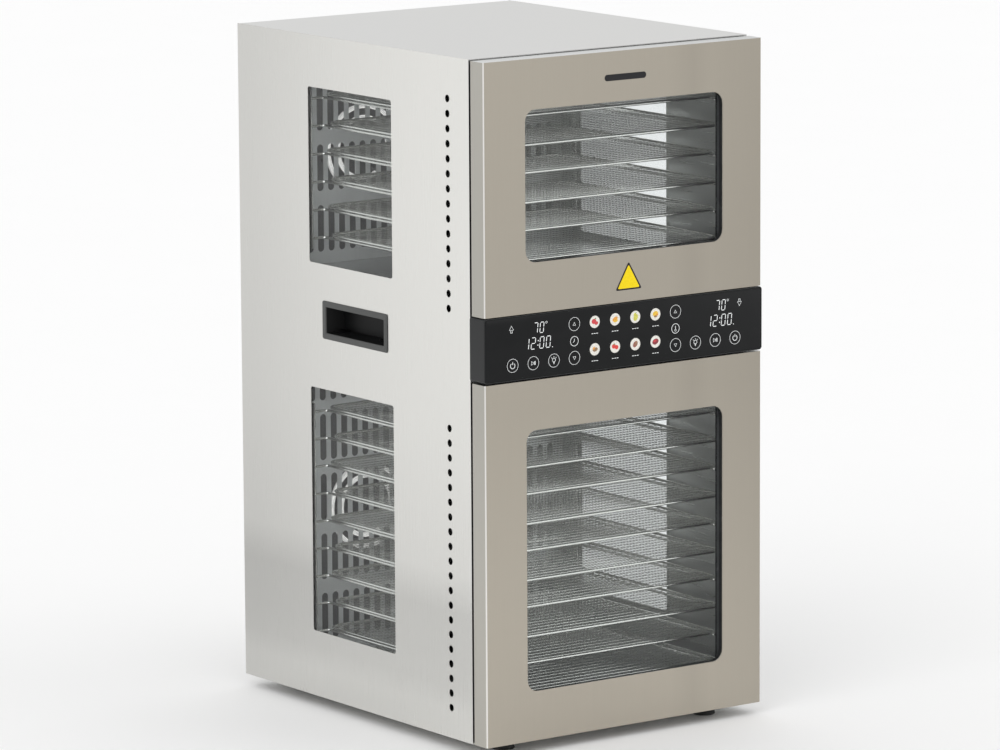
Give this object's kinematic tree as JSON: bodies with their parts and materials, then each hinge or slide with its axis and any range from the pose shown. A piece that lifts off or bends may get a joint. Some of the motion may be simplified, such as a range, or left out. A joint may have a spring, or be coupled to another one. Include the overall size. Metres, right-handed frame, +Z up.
{
  "type": "food dehydrator",
  "caption": "Tall two-zone food dehydrator: steel cabinet with an upper and a lower glazed door, wire trays on rails, rear fans and a touch panel between the doors",
  "frame": {"origin": "on the floor under the middle of the whole cabinet", "axes": "+Z is up, the doors face -Y, +X is to the right for someone facing the doors"},
  "size_m": [0.4326, 0.5382, 0.8672],
  "materials": {
    "cabinet_steel": "fine brushed stainless, light",
    "door_steel": "fine brushed stainless, slightly warm, darker than the sides",
    "chamber_steel": "bright satin stainless sheet",
    "tray_wire": "bright woven stainless wire",
    "rail_wire": "bright drawn stainless wire",
    "handle_plastic": "dark grey moulded plastic",
    "frame_plastic": "black moulded plastic",
    "housing_plastic": "black moulded plastic, satin",
    "inlet_plastic": "black moulded plastic",
    "touch_face": "black glossy touch face with white marks",
    "foot_rubber": "dark rubber",
    "gasket_rubber": "grey silicone",
    "door_glass": "lightly tinted clear glass",
    "side_glass": "lightly tinted clear glass",
    "heater_steel": "polished heater tube",
    "fan_plastic": "dark moulded impeller",
    "hinge_steel": "plain steel pin and arms"
  },
  "bodies": {
    "cabinet": {"base_plate": "cabinet_steel", "control_panel_face": "touch_face", "control_panel_housing": "housing_plastic", "front_left_foot": "foot_rubber", "front_right_foot": "foot_rubber", "left_carry_handle": "handle_plastic", "left_side_panel": "cabinet_steel", "lower_door_hinge": "hinge_steel", "lower_duct_wall": "chamber_steel", "lower_fan_mount": "chamber_steel", "lower_heater": "heater_steel", "lower_left_rack": "rail_wire", "lower_left_window": "side_glass", "lower_liner": "chamber_steel", "lower_right_rack": "rail_wire", "lower_right_window": "side_glass", "lower_tray_01": "tray_wire", "lower_tray_02": "tray_wire", "lower_tray_03": "tray_wire", "lower_tray_04": "tray_wire", "lower_tray_05": "tray_wire", "lower_tray_06": "tray_wire", "lower_tray_07": "tray_wire", "lower_tray_08": "tray_wire", "lower_tray_09": "tray_wire", "lower_tray_10": "tray_wire", "power_inlet": "inlet_plastic", "rear_left_foot": "foot_rubber", "rear_panel": "cabinet_steel", "rear_right_foot": "foot_rubber", "right_carry_handle": "handle_plastic", "right_side_panel": "cabinet_steel", "top_panel": "cabinet_steel", "upper_door_hinge": "hinge_steel", "upper_duct_wall": "chamber_steel", "upper_fan_mount": "chamber_steel", "upper_heater": "heater_steel", "upper_left_rack": "rail_wire", "upper_left_window": "side_glass", "upper_liner": "chamber_steel", "upper_right_rack": "rail_wire", "upper_right_window": "side_glass", "upper_tray_01": "tray_wire", "upper_tray_02": "tray_wire", "upper_tray_03": "tray_wire", "upper_tray_04": "tray_wire", "upper_tray_05": "tray_wire", "upper_tray_06": "tray_wire"},
    "upper_door": {"upper_door_skin": "door_steel", "upper_door_frame": "frame_plastic", "upper_door_glass": "door_glass", "upper_door_gasket": "gasket_rubber"},
    "upper_left_impeller": {"upper_left_fan": "fan_plastic"},
    "upper_right_impeller": {"upper_right_fan": "fan_plastic"},
    "lower_door": {"lower_door_skin": "door_steel", "lower_door_frame": "frame_plastic", "lower_door_glass": "door_glass", "lower_door_gasket": "gasket_rubber"},
    "lower_left_impeller": {"lower_left_fan": "fan_plastic"},
    "lower_right_impeller": {"lower_right_fan": "fan_plastic"}
  },
  "joints": [
    {"name": "upper_door_hinge", "type": "hinge", "parent": "cabinet", "child": "upper_door", "pos_m": [0.207, -0.256, 0.70895], "axis": [0, 0, 1], "range_deg": [0, 110]},
    {"name": "lower_door_hinge", "type": "hinge", "parent": "cabinet", "child": "lower_door", "pos_m": [0.207, -0.256, 0.242], "axis": [0, 0, 1], "range_deg": [0, 110]},
    {"name": "upper_left_fan_spin", "type": "hinge", "parent": "cabinet", "child": "upper_left_impeller", "pos_m": [-0.098, 0.1823, 0.70845], "axis": [0, 1, 0], "continuous": true},
    {"name": "upper_right_fan_spin", "type": "hinge", "parent": "cabinet", "child": "upper_right_impeller", "pos_m": [0.098, 0.1823, 0.70845], "axis": [0, 1, 0], "continuous": true},
    {"name": "lower_left_fan_spin", "type": "hinge", "parent": "cabinet", "child": "lower_left_impeller", "pos_m": [-0.098, 0.1823, 0.2421], "axis": [0, 1, 0], "continuous": true},
    {"name": "lower_right_fan_spin", "type": "hinge", "parent": "cabinet", "child": "lower_right_impeller", "pos_m": [0.098, 0.1823, 0.2421], "axis": [0, 1, 0], "continuous": true}
  ]
}
